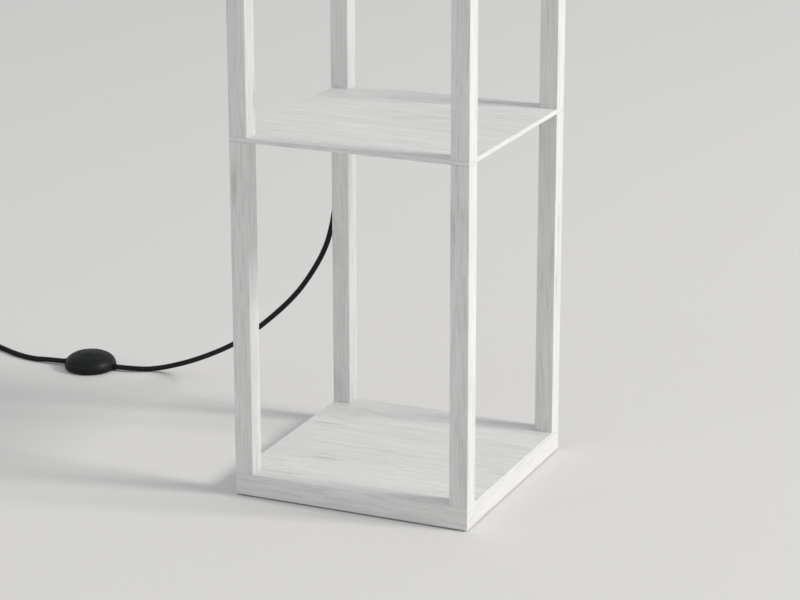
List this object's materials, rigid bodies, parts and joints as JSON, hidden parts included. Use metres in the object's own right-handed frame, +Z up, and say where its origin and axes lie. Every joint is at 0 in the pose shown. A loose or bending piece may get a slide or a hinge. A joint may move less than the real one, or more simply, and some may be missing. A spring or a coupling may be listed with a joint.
{
  "type": "shelf floor lamp",
  "caption": "Square floor lamp with slim white wood posts, open shelves, a tall fabric box shade, and a black flex with a round foot switch and plug.",
  "frame": {"origin": "on the floor, under the middle of the square base", "axes": "+Z up, -Y towards the front, +X to the right seen from the front; the flex leaves the back of the left rear post"},
  "size_m": [0.8529, 0.3285, 1.6],
  "materials": {
    "white_wood": "white-washed wood, open fine grain, satin",
    "pad_felt": "thin dark felt",
    "zinc_steel": "zinc plated steel",
    "spring_steel": "bright spring wire",
    "white_steel": "white powder coat, satin",
    "black_rubber": "moulded soft black, matte",
    "black_flex": "round black flex, satin sheath",
    "holder_plastic": "white moulded, satin",
    "insulator": "unglazed insulator",
    "brass": "stamped brass",
    "bulb_metal": "nickel plated",
    "bulb_plastic": "white moulded, satin",
    "bulb_glass": "frosted opal diffuser",
    "shade_liner": "translucent white shade backing",
    "shade_linen": "plain weave linen, off-white",
    "switch_plastic": "black moulded, satin"
  },
  "bodies": {
    "root": {"base_board": "white_wood", "shelf_lower": "white_wood", "shelf_middle": "white_wood", "lamp_deck": "white_wood", "foot_pads": "pad_felt", "base_bolts": "zinc_steel", "joint_studs": "zinc_steel", "deck_bolts": "zinc_steel", "post_inserts": "zinc_steel", "wire_inserts": "zinc_steel", "wire_nipples": "zinc_steel", "deck_bushing": "black_rubber", "cord_relief": "black_rubber", "inner_lead": "black_flex", "lamp_canopy": "white_steel", "canopy_screws": "zinc_steel", "canopy_nuts": "zinc_steel", "holder_nipple": "zinc_steel", "nipple_locknuts": "zinc_steel", "holder_cap": "holder_plastic", "holder_body": "holder_plastic", "holder_insert": "insulator", "screw_shell": "brass", "centre_contact": "brass", "shade_carrier": "white_steel", "upper_shade_ring": "white_steel", "shade_liner": "shade_liner", "shade_fabric": "shade_linen", "shade_hems": "shade_linen", "switch_pad": "black_rubber", "switch_housing": "switch_plastic", "switch_cover": "switch_plastic", "switch_core": "insulator", "switch_spring": "spring_steel", "switch_screws": "zinc_steel", "switch_glands": "black_rubber", "flex_to_switch": "black_flex", "flex_to_coil": "black_flex", "cord_coil": "black_flex", "flex_to_plug": "black_flex", "plug_body": "black_rubber", "plug_pins": "bulb_metal", "post_lower_front_left": "white_wood", "post_lower_front_right": "white_wood", "post_lower_back_left": "white_wood", "post_lower_back_right": "white_wood", "post_middle_front_left": "white_wood", "post_middle_front_right": "white_wood", "post_middle_back_left": "white_wood", "post_middle_back_right": "white_wood", "post_upper_front_left": "white_wood", "post_upper_front_right": "white_wood", "post_upper_back_left": "white_wood", "post_upper_back_right": "white_wood"},
    "bulb": {"bulb_cap": "bulb_metal", "bulb_housing": "bulb_plastic", "bulb_globe": "bulb_glass"},
    "clamp_ring": {"shade_ring": "holder_plastic"},
    "foot_button": {"switch_button": "switch_plastic"}
  },
  "joints": [
    {"name": "foot_button_press", "type": "slide", "parent": "root", "child": "foot_button", "axis": [0, 0, -1], "range_m": [0, 0.0025], "stiffness_N_per_m": 400, "springref_m": -0.002, "deforming": ["switch_spring"]},
    {"name": "bulb_turn", "type": "hinge", "parent": "root", "child": "bulb", "pos_m": [0, 0, 1.22], "axis": [0, 0, 1], "continuous": true},
    {"name": "shade_ring_turn", "type": "hinge", "parent": "root", "child": "clamp_ring", "pos_m": [0, 0, 1.165], "axis": [0, 0, 1], "continuous": true}
  ]
}
